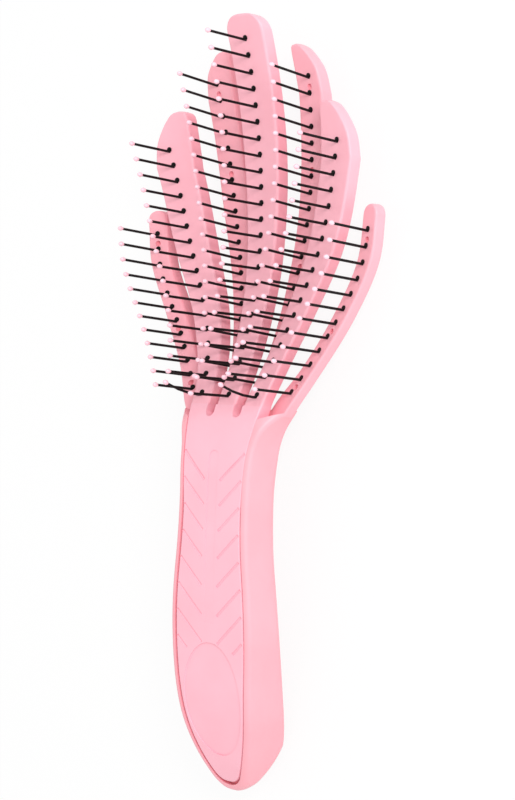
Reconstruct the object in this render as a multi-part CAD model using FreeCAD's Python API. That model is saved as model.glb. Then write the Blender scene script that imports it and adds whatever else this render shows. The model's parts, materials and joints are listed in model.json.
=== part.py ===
# A detangling brush with a vented head. The head is seven springy fingers in two layers, three in
# front and four behind them, all following one dished oval. The front fingers grow out of the grip
# panel, the rear ones out of the shell that the panel closes. Every finger carries one row of thin
# pins, each seated in a blind socket and ending in a soft tip.
#
# Millimetres. +Y runs along the handle to the tip of the head, +X across the head, and +Z the way
# the pins point. While the pieces are made, y = 0 is at the neck and z = 0 at the lowest point of
# the front face. When they are saved, the origin moves to the bottom centre of the whole brush.
import FreeCAD
import Part
import math
import os
from collections import namedtuple

Vector = FreeCAD.Vector

# Side view: the line of the front face, a chain of tangent arcs from the head to the palm end
BOWL_Y = 49.0
HEAD_R = 167.0
THROAT_R = 107.0
NECK_Y = 2.0
BROW_R = 59.0
GRIP_Y = -37.0
GRIP_R = 412.0
PALM_Y = -82.0
PALM_R = 65.0

# Side view: the line of the handle's back, straight, then bowed down to a heel that rounds up to the
# thin edge of the butt
GRIP_T = 14.6
BACK_FALL_Y = -40.0
BACK_R = 186.0
HEEL_Y = -102.0
BUTT_T = 4.0

# The two layers of the head, measured down from the front face
FINGER_T = 4.8
LAYER_GAP = 0.6
DISH_R = 128.0

# Plan of the fingers on the right: y, middle and half width from the handle outwards, then the points
# of the tip from the left edge round to the right one
FRONT_CENTRE_PLAN = (
    (-9.0, 0.0, 3.5),
    (18.0, 0.0, 4.4),
    (45.0, 0.0, 5.7),
    (72.0, 0.0, 6.9),
    (107.6, 0.0, 7.2),
)
FRONT_CENTRE_TIP = ((-6.8, 110.2), (-5.3, 112.0), (0.0, 113.4), (5.3, 112.0), (6.8, 110.2))
FRONT_OUTER_PLAN = (
    (-9.0, 9.9, 3.6),
    (5.0, 11.6, 3.7),
    (24.0, 17.4, 4.9),
    (45.0, 25.9, 6.3),
    (70.0, 32.4, 6.9),
)
FRONT_OUTER_TIP = ((26.6, 84.6), (27.3, 86.4), (29.2, 86.9), (36.1, 81.6))
REAR_INNER_PLAN = (
    (-9.0, 4.7, 1.35),
    (4.0, 5.8, 1.7),
    (33.0, 10.5, 3.8),
    (58.0, 15.0, 4.9),
    (90.0, 18.0, 5.1),
)
REAR_INNER_TIP = ((12.4, 103.2), (12.9, 104.3), (14.2, 104.6), (20.4, 100.0))
REAR_OUTER_PLAN = (
    (-12.0, 11.5, 3.0),
    (8.0, 22.9, 3.6),
    (25.0, 33.0, 3.6),
    (41.0, 41.0, 3.4),
    (54.0, 42.8, 3.3),
)
REAR_OUTER_TIP = ((43.0, 57.4),)

# Flexing root of each finger: a round knuckle in a round seat
HINGE_Y = -2.0
OUTER_HINGE_Y = 1.0
OUTER_FLEX_DEG = 30.0
KNUCKLE_GAP = 0.3
SEAT_LIP = 1.5
SEAT_SIDE_GAP = 0.4

# Plan of the handle: radius and turn of the arcs from the butt up its side, and the insets of what it
# holds
HANDLE_RADII = (8.2, 54.4, 171.0, -171.0, -18.5)
HANDLE_TURNS_DEG = (58.5, 24.0, 13.9, -12.5, -33.0)
BUTT_Y = -116.6
RIM_W = 2.0
PANEL_GAP = 0.2
LEDGE_W = 1.2
PANEL_T = 2.2
FLOOR_T = 2.2
BACK_SLOPE_DEG = 45.0
BACK_FLAT_HALF_W = 11.0
BULKHEAD_T = 10.0
SADDLE_RUN = 10.0
SLOT_DEPTH = 1.7

# Posts inside the handle: panel posts pressed into bosses on the shell's floor
POST_Y = (-30.0, -62.0, -92.0)
POST_R = 1.6
BOSS_R = 3.2
POST_GRIP = 3.0
POST_SIDES = 6

# Pins and their soft tips, drawn four-sided, with radii to their corners
PIN_PITCH = 4.77
PIN_LENGTH = 14.9
PIN_R = 0.48
SOCKET_DEPTH = 1.8
TIP_LENGTH = 2.1
TIP_R = 0.95
TIP_BELLY = 0.9
PIN_SIDES = 4
PEG_HOLE_R = 0.9
PEG_HOLE_DEPTH = 1.2

# Where each finger's face is tangent to the dish
FRONT_OUTER_DISH_X = 24.0
REAR_INNER_DISH_X = 14.0
REAR_OUTER_DISH_X = 34.0

# Rows of pins: y of the pin nearest to the tip, y where the row ends, and how far along the rows of the
# rear fingers their blind holes sit
FRONT_CENTRE_ROW = (106.2, 0.0)
FRONT_OUTER_ROW = (75.3, 1.0)
REAR_INNER_ROW = (95.2, 4.0)
REAR_OUTER_ROW = (50.4, 2.0)
REAR_INNER_PEG_SHARES = (0.05, 0.3, 0.6)
REAR_OUTER_PEG_SHARES = (0.08, 0.58, 0.92)

# flex_deg turns the flexing axis in plan
Finger = namedtuple("Finger", "plan tip layer dish_x flex_deg hinge_y row peg_shares")
FINGERS = {
    "front_centre": Finger(
        FRONT_CENTRE_PLAN, FRONT_CENTRE_TIP, 0, 0.0, 0.0, HINGE_Y, FRONT_CENTRE_ROW, ()
    ),
    "front_outer": Finger(
        FRONT_OUTER_PLAN, FRONT_OUTER_TIP, 0, FRONT_OUTER_DISH_X, 0.0, HINGE_Y, FRONT_OUTER_ROW, ()
    ),
    "rear_inner": Finger(
        REAR_INNER_PLAN,
        REAR_INNER_TIP,
        1,
        REAR_INNER_DISH_X,
        0.0,
        HINGE_Y,
        REAR_INNER_ROW,
        REAR_INNER_PEG_SHARES,
    ),
    "rear_outer": Finger(
        REAR_OUTER_PLAN,
        REAR_OUTER_TIP,
        1,
        REAR_OUTER_DISH_X,
        OUTER_FLEX_DEG,
        OUTER_HINGE_Y,
        REAR_OUTER_ROW,
        REAR_OUTER_PEG_SHARES,
    ),
}

# A block larger than the brush, and how far a cut runs past what it cuts
WIDE = 400.0
PAST = 0.5


def sag(radius, run):
    return radius - math.sqrt(radius * radius - run * run)


# Where the arcs of the face line meet
NECK_TURN = math.asin((BOWL_Y - NECK_Y) / THROAT_R)
BROW_Y = NECK_Y - BROW_R * math.sin(NECK_TURN)
TOP_Z = sag(THROAT_R, BOWL_Y - NECK_Y) + BROW_R * (1.0 - math.cos(NECK_TURN))
PALM_TURN = math.asin((GRIP_Y - PALM_Y) / GRIP_R)
PALM_Z = TOP_Z - sag(GRIP_R, GRIP_Y - PALM_Y)
FACE_JOINS = (PALM_Y, GRIP_Y, BROW_Y, NECK_Y, BOWL_Y)

LAYER_STEP = FINGER_T + LAYER_GAP
HANDLE_FRONT_Y = HINGE_Y - SEAT_LIP
BULKHEAD_Y = HANDLE_FRONT_Y - BULKHEAD_T
SADDLE_Y = HANDLE_FRONT_Y - SADDLE_RUN


def face_z(y):
    """Height of the front face's line at y."""
    if y >= BOWL_Y:
        return sag(HEAD_R, y - BOWL_Y)
    if y >= NECK_Y:
        return sag(THROAT_R, BOWL_Y - y)
    if y >= BROW_Y:
        return TOP_Z - sag(BROW_R, y - BROW_Y)
    if y >= GRIP_Y:
        return TOP_Z
    if y >= PALM_Y:
        return TOP_Z - sag(GRIP_R, GRIP_Y - y)
    turned = math.sin(PALM_TURN) + (PALM_Y - y) / PALM_R
    return PALM_Z - PALM_R * (math.cos(PALM_TURN) - math.sqrt(1.0 - turned * turned))


# The handle's back: the heel is the arc that leaves the bow smoothly and ends under the butt's edge
BACK_Z = TOP_Z - GRIP_T
BACK_FRONT_Z = face_z(HANDLE_FRONT_Y) - LAYER_STEP - FINGER_T
HEEL_TURN = math.asin((BACK_FALL_Y - HEEL_Y) / BACK_R)
HEEL_Z = BACK_Z - sag(BACK_R, BACK_FALL_Y - HEEL_Y)
HEEL_RUN = HEEL_Y - BUTT_Y
HEEL_RISE = face_z(BUTT_Y) - BUTT_T - HEEL_Z
HEEL_LIFT = HEEL_RISE * math.cos(HEEL_TURN) + HEEL_RUN * math.sin(HEEL_TURN)
HEEL_R = (HEEL_RUN**2 + HEEL_RISE**2) / (2.0 * HEEL_LIFT)
HEEL_CENTRE = (HEEL_Y - HEEL_R * math.sin(HEEL_TURN), HEEL_Z + HEEL_R * math.cos(HEEL_TURN))
BACK_JOINS = (HEEL_Y, BACK_FALL_Y)


def back_z(y):
    """Height of the handle's back at y."""
    if y >= BACK_FALL_Y:
        share = (y - BACK_FALL_Y) / (HANDLE_FRONT_Y - BACK_FALL_Y)
        return BACK_Z + share * (BACK_FRONT_Z - BACK_Z)
    if y >= HEEL_Y:
        return BACK_Z - sag(BACK_R, BACK_FALL_Y - y)
    return HEEL_CENTRE[1] - math.sqrt(max(HEEL_R**2 - (y - HEEL_CENTRE[0]) ** 2, 0.0))


def rim_z(y):
    """Height of the shell's rim at y: the face line, which drops to the rear layer at the neck."""
    run = max(0.0, y - SADDLE_Y)
    return face_z(y) - LAYER_STEP * math.sin(0.5 * math.pi * min(1.0, run / SADDLE_RUN)) ** 2


def line_edges(height, joins, y_from, y_to):
    """Edges of a side-view line: an arc or a straight run between each two joins."""
    stops = [y_from] + [y for y in joins if y_from < y < y_to] + [y_to]
    edges = []
    for low, high in zip(stops, stops[1:]):
        start, middle, end = [Vector(0, y, height(y)) for y in (low, 0.5 * (low + high), high)]
        if middle.distanceToLine(start, end - start) < 1e-6:
            edges.append(Part.LineSegment(start, end).toShape())
        else:
            edges.append(Part.Arc(start, middle, end).toShape())
    return edges


def side_block(top, top_joins, bottom, bottom_joins, y_from, y_to):
    """Solid between two side-view lines, straight across the brush."""
    edges = line_edges(top, top_joins, y_from, y_to) + line_edges(bottom, bottom_joins, y_from, y_to)
    for y in (y_from, y_to):
        edges.append(Part.LineSegment(Vector(0, y, bottom(y)), Vector(0, y, top(y))).toShape())
    face = Part.Face(Part.Wire(Part.__sortEdges__(edges)))
    face.translate(Vector(-0.5 * WIDE, 0, 0))
    return face.extrude(Vector(WIDE, 0, 0))


def layer_block(y_from, y_to, top_depth, bottom_depth):
    """Part of the space under the front face, between two depths."""
    def top(y):
        return face_z(y) - top_depth

    def bottom(y):
        return face_z(y) - bottom_depth

    return side_block(top, FACE_JOINS, bottom, FACE_JOINS, y_from, y_to)


def spline(points):
    curve = Part.BSplineCurve()
    curve.interpolate([Vector(x, y, 0) for x, y in points])
    return curve


def face_within(edges):
    """Flat face inside open edges in plan, with a straight run from the last end to the first."""
    ends = []
    for first, second in zip(edges, edges[1:] + edges[:1]):
        start = first.lastVertex().Point
        end = second.firstVertex().Point
        if start.distanceToPoint(end) > 1e-6:
            ends.append(Part.LineSegment(start, end).toShape())
    return Part.Face(Part.Wire(Part.__sortEdges__(edges + ends)))


def upright(face):
    """The plan face as a tall prism."""
    base = face.copy()
    base.translate(Vector(0, 0, -0.5 * WIDE))
    return base.extrude(Vector(0, 0, WIDE))


def ahead_of(point, turn, shift=0.0):
    """Everything in front of a plane through the point, with its normal turned from +Y towards +X."""
    block = Part.makeBox(WIDE, WIDE, WIDE, Vector(-0.5 * WIDE, shift, -0.5 * WIDE))
    block.rotate(Vector(0, 0, 0), Vector(0, 0, 1), -turn)
    block.translate(Vector(point.x, point.y, 0))
    return block


def middle_line(finger):
    """Line of the pins, carried on straight beyond the last station."""
    (y_before, before, _), (y_last, last, _) = finger.plan[-2:]
    run = max(finger.row[0] - y_last, 0.0) + FINGER_T
    beyond = (last + (last - before) * run / (y_last - y_before), y_last + run)
    return spline([(middle, y) for y, middle, half in finger.plan] + [beyond])


def point_on(curve, y):
    """Parameter of the point at y on a line that runs towards +Y."""
    low, high = curve.FirstParameter, curve.LastParameter
    while high - low > 1e-9:
        middle = 0.5 * (low + high)
        if curve.value(middle).y < y:
            low = middle
        else:
            high = middle
    return low


def half_width(finger, y):
    halves = spline([(half, station) for station, middle, half in finger.plan])
    return halves.value(point_on(halves, y)).x


def arc_chain(points):
    """Chain of arcs over three points each, after a straight run where the points are even."""
    points = [Vector(x, y, 0) for x, y in points]
    edges = []
    if len(points) % 2 == 0:
        edges.append(Part.LineSegment(points[0], points[1]).toShape())
        points = points[1:]
    for start in range(0, len(points) - 1, 2):
        edges.append(Part.Arc(*points[start : start + 3]).toShape())
    return edges


def finger_prism(finger):
    """The finger's outline in plan, as a tall prism."""
    left = [(middle - half, y) for y, middle, half in finger.plan]
    right = [(middle + half, y) for y, middle, half in reversed(finger.plan)]
    tip = arc_chain((left[-1],) + finger.tip + (right[0],))
    return upright(face_within([spline(left).toShape()] + tip + [spline(right).toShape()]))


def dish_turn(finger):
    return math.asin(finger.dish_x / DISH_R)


def finger_z(finger, x, y, depth=0.0):
    """Height inside a finger at a depth below its face: its layer, turned about the axis of the dish."""
    turn = dish_turn(finger)
    arm = DISH_R - face_z(y) + finger.layer * LAYER_STEP + depth
    across = (x - arm * math.sin(turn)) / math.cos(turn)
    return DISH_R - arm * math.cos(turn) + across * math.sin(turn)


def finger_block(finger):
    """The layer that the finger is cut from, turned about the axis of the dish."""
    top = finger.layer * LAYER_STEP
    block = layer_block(BULKHEAD_Y, FRONT_CENTRE_TIP[2][1] + FINGER_T, top, top + FINGER_T)
    block.rotate(Vector(0, 0, DISH_R), Vector(0, 1, 0), -math.degrees(dish_turn(finger)))
    return block


def hinge_point(finger):
    line = middle_line(finger)
    point = line.value(point_on(line, finger.hinge_y))
    point.z = finger_z(finger, point.x, point.y, 0.5 * FINGER_T)
    return point


def knuckle(finger, gap=0.0, side_gap=0.0):
    """Round root of the finger about its flexing axis, or with gaps the seat around it."""
    point = hinge_point(finger)
    turn = math.radians(finger.flex_deg)
    axis = Vector(math.cos(turn), -math.sin(turn), 0)
    reach = half_width(finger, finger.hinge_y) * math.cos(turn) + side_gap
    return Part.makeCylinder(0.5 * FINGER_T + gap, 2.0 * reach, point - axis * reach, axis)


def ring(x, y, z, radius, sides=PIN_SIDES):
    """Regular polygon that stands for a small circle."""
    turns = [2.0 * math.pi * (side + 0.5) / sides for side in range(sides + 1)]
    return Part.makePolygon([Vector(x + radius * math.cos(t), y + radius * math.sin(t), z) for t in turns])


def rod(x, y, low, high, radius, sides=PIN_SIDES):
    return Part.Face(ring(x, y, low, radius, sides)).extrude(Vector(0, 0, high - low))


def pin_places(finger):
    """Roots of the pins on the finger's face, from its tip towards the handle."""
    line = middle_line(finger)
    y, row_end = finger.row
    places = []
    while y > row_end:
        at = point_on(line, y)
        point = line.value(at)
        places.append(Vector(point.x, y, finger_z(finger, point.x, y)))
        y -= PIN_PITCH * abs(line.tangent(at)[0].y)
    return places


def peg_places(finger):
    """Midpoints between the pins where a small blind hole sits."""
    places = pin_places(finger)
    pegs = [round(share * len(places)) for share in finger.peg_shares]
    return [(places[pin - 1] + places[pin]) * 0.5 for pin in pegs]


def make_pins(finger):
    pins = []
    for root in pin_places(finger):
        pins.append(rod(root.x, root.y, root.z - SOCKET_DEPTH, root.z + PIN_LENGTH, PIN_R))
    return pins


def skin(rings):
    """Solid with flat sides between rings of equal sides, closed by the first and last ring."""
    faces = [Part.Face(rings[0]), Part.Face(rings[-1])]
    for low, high in zip(rings, rings[1:]):
        for first, second in zip(low.Edges, high.Edges):
            corners = [v.Point for v in first.Vertexes] + [v.Point for v in reversed(second.Vertexes)]
            faces.append(Part.Face(Part.makePolygon(corners + corners[:1])))
    return Part.Solid(Part.Shell(faces))


def make_tips(finger):
    tips = []
    for root in pin_places(finger):
        low = root.z + PIN_LENGTH
        sizes = ((low, PIN_R), (low + TIP_BELLY, TIP_R), (low + TIP_LENGTH, PIN_R))
        tips.append(skin([ring(root.x, root.y, z, radius) for z, radius in sizes]))
    return tips


def make_finger(finger):
    body = finger_prism(finger).common(finger_block(finger))
    body = body.common(ahead_of(hinge_point(finger), finger.flex_deg)).Solids[0]
    body = body.fuse(knuckle(finger))
    holes = make_pins(finger)
    for place in peg_places(finger):
        low, high = place.z - PEG_HOLE_DEPTH, place.z + PEG_HOLE_DEPTH
        holes.append(rod(place.x, place.y, low, high, PEG_HOLE_R, POST_SIDES))
    return body.cut(holes).removeSplitter()


def handle_outline(inset, shoulder):
    """Plan of the handle, drawn in by the inset, as a tall prism. At the neck its sides either turn out
    into the shoulders, or run on straight past the fingers' roots."""
    points = [(0.0, BUTT_Y + inset)]
    heading = 0.0
    arcs = list(zip(HANDLE_RADII, HANDLE_TURNS_DEG))
    for radius, turn in arcs if shoulder else arcs[:-1]:
        across, along = points[-1]
        inner = radius - inset
        for share in (0.5, 1.0):
            angle = heading + share * math.radians(turn)
            x = across + inner * (math.sin(angle) - math.sin(heading))
            points.append((x, along - inner * (math.cos(angle) - math.cos(heading))))
        heading += math.radians(turn)
    right = arc_chain(points)
    left = arc_chain([(-x, y) for x, y in points])
    ends = points[-1:]
    if not shoulder:
        run = SADDLE_RUN + BULKHEAD_T
        ends.append((ends[0][0] + run * math.cos(heading), ends[0][1] + run * math.sin(heading)))
    corners = [Vector(x, y, 0) for x, y in ends] + [Vector(-x, y, 0) for x, y in reversed(ends)]
    closing = Part.makePolygon(corners).Edges
    return upright(Part.Face(Part.Wire(Part.__sortEdges__(right + left + closing))))


def make_panel():
    panel = handle_outline(RIM_W + PANEL_GAP, False)
    sheet = layer_block(BUTT_Y, HANDLE_FRONT_Y, 0.0, PANEL_T)
    root = layer_block(BULKHEAD_Y + PANEL_GAP, HANDLE_FRONT_Y, 0.0, FINGER_T)
    panel = panel.common(sheet.fuse(root)).Solids[0]
    for y in POST_Y:
        top = face_z(y) - PANEL_T
        panel = panel.fuse(post(y, back_z(y) + FLOOR_T, top + 0.5 * PANEL_T, POST_R))
    centre, outer = FINGERS["front_centre"], FINGERS["front_outer"]
    slot = neck_slot(centre, outer)
    seats = [knuckle(f, KNUCKLE_GAP, SEAT_SIDE_GAP) for f in (centre, outer)]
    return panel.cut([slot, mirrored(slot), mirrored(seats[1])] + seats).removeSplitter()


def neck_slot(centre, outer):
    """Round-ended slot in the panel between the roots of two front fingers."""
    low = half_width(centre, HINGE_Y)
    high = hinge_point(outer).x - half_width(outer, HINGE_Y)
    radius = 0.5 * (high - low)
    start = Vector(low + radius, HANDLE_FRONT_Y - SLOT_DEPTH + radius, -0.5 * WIDE)
    round_end = Part.makeCylinder(radius, WIDE, start)
    run = Part.makeBox(2.0 * radius, WIDE, WIDE, start - Vector(radius, 0, 0))
    return round_end.fuse(run)


def post(y, low, high, radius):
    return rod(0.0, y, low, high, radius, POST_SIDES)


def make_shell():
    outside = handle_outline(0.0, True)
    rim_joins = tuple(sorted(FACE_JOINS + (SADDLE_Y, 0.5 * (SADDLE_Y + HANDLE_FRONT_Y))))
    body = side_block(rim_z, rim_joins, back_z, BACK_JOINS, BUTT_Y - PAST, HANDLE_FRONT_Y)
    body = outside.common(body).common(back_side(1)).common(back_side(-1)).Solids[0]
    outer = FINGERS["rear_outer"]
    stub = finger_root(outer)
    body = body.fuse([stub, mirrored(stub)])
    body = body.cut([panel_recess(), cavity()])
    for y in POST_Y:
        boss = post(y, back_z(y) + 0.5 * FLOOR_T, back_z(y) + FLOOR_T + POST_GRIP, BOSS_R)
        hole = post(y, back_z(y) + FLOOR_T, TOP_Z, POST_R)
        body = body.fuse(boss).cut(hole)
    seats = [knuckle(FINGERS[name], KNUCKLE_GAP, SEAT_SIDE_GAP) for name in ("rear_inner", "rear_outer")]
    return body.cut(seats + [mirrored(seat) for seat in seats]).removeSplitter()


def back_side(side):
    """Everything inside the slope that takes off the back edge on one side."""
    turn = math.radians(BACK_SLOPE_DEG)

    def slope_z(y):
        return back_z(y) * math.cos(turn) - BACK_FLAT_HALF_W * math.sin(turn)

    block = side_block(lambda y: WIDE, (), slope_z, BACK_JOINS, BUTT_Y - PAST, HANDLE_FRONT_Y)
    block.rotate(Vector(0, 0, 0), Vector(0, 1, 0), -side * BACK_SLOPE_DEG)
    return block


def finger_root(finger):
    """Fixed stub behind a finger's knuckle, which grows out of the shell."""
    body = finger_prism(finger).common(finger_block(finger))
    return body.cut(ahead_of(hinge_point(finger), finger.flex_deg, -SEAT_LIP)).Solids[0]


def panel_recess():
    """Room for the panel and its thick root."""
    sheet = layer_block(BUTT_Y, HANDLE_FRONT_Y + SEAT_LIP, -WIDE, PANEL_T)
    root = layer_block(BULKHEAD_Y, HANDLE_FRONT_Y + SEAT_LIP, -WIDE, FINGER_T)
    return handle_outline(RIM_W, False).common(sheet.fuse(root))


def cavity():
    """Hollow of the handle behind the ledge that the panel rests on."""
    inset = RIM_W + LEDGE_W
    hollow = side_block(
        lambda y: face_z(y) - 0.5 * PANEL_T,
        FACE_JOINS,
        lambda y: back_z(y) + FLOOR_T,
        BACK_JOINS,
        BUTT_Y + inset,
        BULKHEAD_Y,
    )
    return handle_outline(inset, False).common(hollow)


def mirrored(shape):
    return shape.mirror(Vector(0, 0, 0), Vector(1, 0, 0))


def make_finger_set(name, finger, place):
    """Finger, pins and tips of one finger, each as a named list of solids."""
    pieces = {
        "finger_" + name: make_finger(finger).Solids,
        "pins_" + name: make_pins(finger),
        "tips_" + name: make_tips(finger),
    }
    return {node: [place(solid) for solid in solids] for node, solids in pieces.items()}


def make_brush():
    pieces = {"rear_shell": make_shell().Solids, "front_panel": make_panel().Solids}
    for name, finger in FINGERS.items():
        if finger.dish_x == 0.0:
            pieces.update(make_finger_set(name, finger, lambda solid: solid))
        else:
            pieces.update(make_finger_set(name + "_right", finger, lambda solid: solid))
            pieces.update(make_finger_set(name + "_left", finger, mirrored))
    return pieces


def save_all(pieces):
    """Write every node, moved so that the bottom centre of the whole brush is the origin."""
    os.makedirs("parts", exist_ok=True)
    whole = Part.makeCompound([solid for solids in pieces.values() for solid in solids])
    box = whole.optimalBoundingBox(False)
    shift = Vector(-box.Center.x, -box.Center.y, -box.ZMin)
    for name, solids in pieces.items():
        shape = solids[0] if len(solids) == 1 else Part.makeCompound(solids)
        shape.translate(shift)
        shape.exportStep("parts/" + name + ".step")
        print(name, len(shape.Solids), "solids", round(shape.Volume, 1), "mm3")
    print("size", [round(side, 2) for side in (box.XLength, box.YLength, box.ZLength)])
    for name, finger in FINGERS.items():
        point = hinge_point(finger) + shift
        print("flexing point", name, [round(c, 3) for c in (point.x, point.y, point.z)])


save_all(make_brush())
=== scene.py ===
# %% [markdown]
# # A detangling brush, dressed for its portrait
# The brush is pale pink moulded plastic: a hollow handle with an inlaid grip panel, and a vented head
# of seven springy fingers with black pins. The imported CAD model comes in first. Every piece made here
# sits in the CAD model's own frame; the pins, tips, panel and shell move with one of its bodies.

# %% Load the frame
import json
import math

import bmesh
import bpy
from mathutils import Matrix, Vector

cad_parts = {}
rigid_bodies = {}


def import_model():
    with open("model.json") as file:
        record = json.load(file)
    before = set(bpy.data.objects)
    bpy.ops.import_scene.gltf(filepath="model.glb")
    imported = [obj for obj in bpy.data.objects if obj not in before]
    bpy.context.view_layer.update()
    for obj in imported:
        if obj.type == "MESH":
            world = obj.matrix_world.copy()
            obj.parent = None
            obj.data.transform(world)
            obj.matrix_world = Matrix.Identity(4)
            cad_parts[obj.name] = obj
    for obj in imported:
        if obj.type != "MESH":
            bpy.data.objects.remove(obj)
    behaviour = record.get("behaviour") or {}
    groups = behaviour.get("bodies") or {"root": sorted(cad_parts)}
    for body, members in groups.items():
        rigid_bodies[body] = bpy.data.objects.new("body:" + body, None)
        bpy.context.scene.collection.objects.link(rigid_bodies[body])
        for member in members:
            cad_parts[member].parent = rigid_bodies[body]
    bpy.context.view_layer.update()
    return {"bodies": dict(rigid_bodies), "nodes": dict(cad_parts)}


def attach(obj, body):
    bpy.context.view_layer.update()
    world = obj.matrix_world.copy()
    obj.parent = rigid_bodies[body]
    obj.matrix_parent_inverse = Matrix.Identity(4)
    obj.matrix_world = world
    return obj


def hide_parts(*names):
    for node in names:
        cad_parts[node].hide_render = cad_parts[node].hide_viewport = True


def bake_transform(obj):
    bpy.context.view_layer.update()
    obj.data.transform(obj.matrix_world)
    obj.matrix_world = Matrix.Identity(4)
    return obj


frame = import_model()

MM = 0.001

# %% [markdown]
# ## The lines of the brush
# Seen from the side, the front face is a chain of tangent arcs: a shallow bowl at the head, a throat, a
# brow, a nearly straight grip and a palm end that falls away. Lofts along these lines need their height
# at any y, so each line is a small function. Lengths are in millimetres with y = 0 at the neck. `spot`
# turns them into metres in the frame.

# %% Side lines
NECK_TO_FRAME = Vector((0.0, 1.6, 10.07))
BOWL_Y, HEAD_R, THROAT_R = 49.0, 167.0, 107.0
NECK_Y, BROW_R = 2.0, 59.0
GRIP_Y, GRIP_R, PALM_Y, PALM_R = -37.0, 412.0, -82.0, 85.0
BUTT_Y, TIP_Y = -116.6, 113.4


def spot(x, y, z):
    """A point of the brush in the frame."""
    return (Vector((x, y, z)) + NECK_TO_FRAME) * MM


def sag(radius, run):
    """How far an arc falls from its crown over a run."""
    return radius - math.sqrt(radius * radius - run * run)


NECK_TURN = math.asin((BOWL_Y - NECK_Y) / THROAT_R)
BROW_Y = NECK_Y - BROW_R * math.sin(NECK_TURN)
TOP_Z = sag(THROAT_R, BOWL_Y - NECK_Y) + BROW_R * (1.0 - math.cos(NECK_TURN))
PALM_TURN = math.asin((GRIP_Y - PALM_Y) / GRIP_R)
PALM_Z = TOP_Z - sag(GRIP_R, GRIP_Y - PALM_Y)


def face_z(y):
    """Height of the front face."""
    if y >= BOWL_Y:
        return sag(HEAD_R, y - BOWL_Y)
    if y >= NECK_Y:
        return sag(THROAT_R, BOWL_Y - y)
    if y >= BROW_Y:
        return TOP_Z - sag(BROW_R, y - BROW_Y)
    if y >= GRIP_Y:
        return TOP_Z
    if y >= PALM_Y:
        return TOP_Z - sag(GRIP_R, GRIP_Y - y)
    turned = math.sin(PALM_TURN) + (PALM_Y - y) / PALM_R
    return PALM_Z - PALM_R * (math.cos(PALM_TURN) - math.sqrt(1.0 - turned * turned))


print("face from", round(face_z(BUTT_Y), 2), "at the butt to", round(face_z(TIP_Y), 2), "at the tip")

# %% Back line
GRIP_T, BACK_FALL_Y, BACK_R, HEEL_Y, BUTT_T = 14.6, -40.0, 186.0, -102.0, 4.0
FINGER_T, LAYER_STEP, NECK_END_Y = 4.8, 5.4, -3.5
BACK_Z = TOP_Z - GRIP_T
BACK_FRONT_Z = face_z(NECK_END_Y) - LAYER_STEP - FINGER_T
HEEL_TURN = math.asin((BACK_FALL_Y - HEEL_Y) / BACK_R)
HEEL_Z = BACK_Z - sag(BACK_R, BACK_FALL_Y - HEEL_Y)
HEEL_RUN = HEEL_Y - BUTT_Y
HEEL_RISE = face_z(BUTT_Y) - BUTT_T - HEEL_Z
HEEL_LIFT = HEEL_RISE * math.cos(HEEL_TURN) + HEEL_RUN * math.sin(HEEL_TURN)
HEEL_R = (HEEL_RUN**2 + HEEL_RISE**2) / (2.0 * HEEL_LIFT)
HEEL_CENTRE_Y = HEEL_Y - HEEL_R * math.sin(HEEL_TURN)
HEEL_CENTRE_Z = HEEL_Z + HEEL_R * math.cos(HEEL_TURN)
HEEL_FLAT = 0.55


def back_z(y):
    """Height of the handle's back."""
    if y >= BACK_FALL_Y:
        share = (y - BACK_FALL_Y) / (NECK_END_Y - BACK_FALL_Y)
        return BACK_Z + share * (BACK_FRONT_Z - BACK_Z)
    if y >= HEEL_Y:
        return BACK_Z - sag(BACK_R, BACK_FALL_Y - y)
    bulged = HEEL_CENTRE_Z - math.sqrt(max(HEEL_R**2 - (y - HEEL_CENTRE_Y) ** 2, 0.0))
    flat = HEEL_Z + HEEL_RISE * (HEEL_Y - y) / HEEL_RUN
    return bulged + HEEL_FLAT * (flat - bulged)


print("handle is", round(face_z(GRIP_Y) - back_z(GRIP_Y), 1), "mm thick at the grip")

# %% Finger layers
DISH_R = 128.0


def ease(value, low, high):
    """Smooth step from 0 at low to 1 at high."""
    t = min(1.0, max(0.0, (value - low) / (high - low)))
    return t * t * (3.0 - 2.0 * t)


def layer_z(layer, dish_x, x, y, depth=0.0):
    """Height in a finger: its layer, turned about the axis of the dish until it is tangent at dish_x."""
    turn = math.asin(dish_x / DISH_R)
    arm = DISH_R - face_z(y) + layer * LAYER_STEP + depth
    across = (x - arm * math.sin(turn)) / math.cos(turn)
    return DISH_R - arm * math.cos(turn) + across * math.sin(turn)


print("rear layer lies", round(layer_z(0, 0.0, 0.0, BOWL_Y) - layer_z(1, 0.0, 0.0, BOWL_Y), 1), "mm lower")

# %% [markdown]
# ## Moulded pink plastic
# The brush is one kind of plastic in slightly different pinks: the panel is a shade lighter than the shell.
# The rear fingers are the same plastic as the front ones, but their pink is a little darker: that is
# painted shade, for the shadow the front layer throws on them. Real moulded plastic is never one even
# colour: it clouds a little, its gloss wanders, and its skin has a fine grain. One helper builds that from
# noise on Object coordinates, so it sticks to the piece from every side, and each call gives it another
# pair of colours.

# %% Plastic
CLOUD_DETAIL, CLOUD_LOW, CLOUD_HIGH = 3.0, 0.3, 0.7
GLOSS_WANDER = 0.04
GRAIN_SCALE, GRAIN_DETAIL, GRAIN_HEIGHT = 2600.0, 2.0, 0.02


def tint(red, green, blue):
    """A colour picked on screen, 0 to 255, as the shader wants it: the sRGB curve, undone."""
    return tuple((c / 255.0 / 12.92) if c < 11 else ((c / 255.0 + 0.055) / 1.055) ** 2.4
                 for c in (red, green, blue)) + (1.0,)


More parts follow.
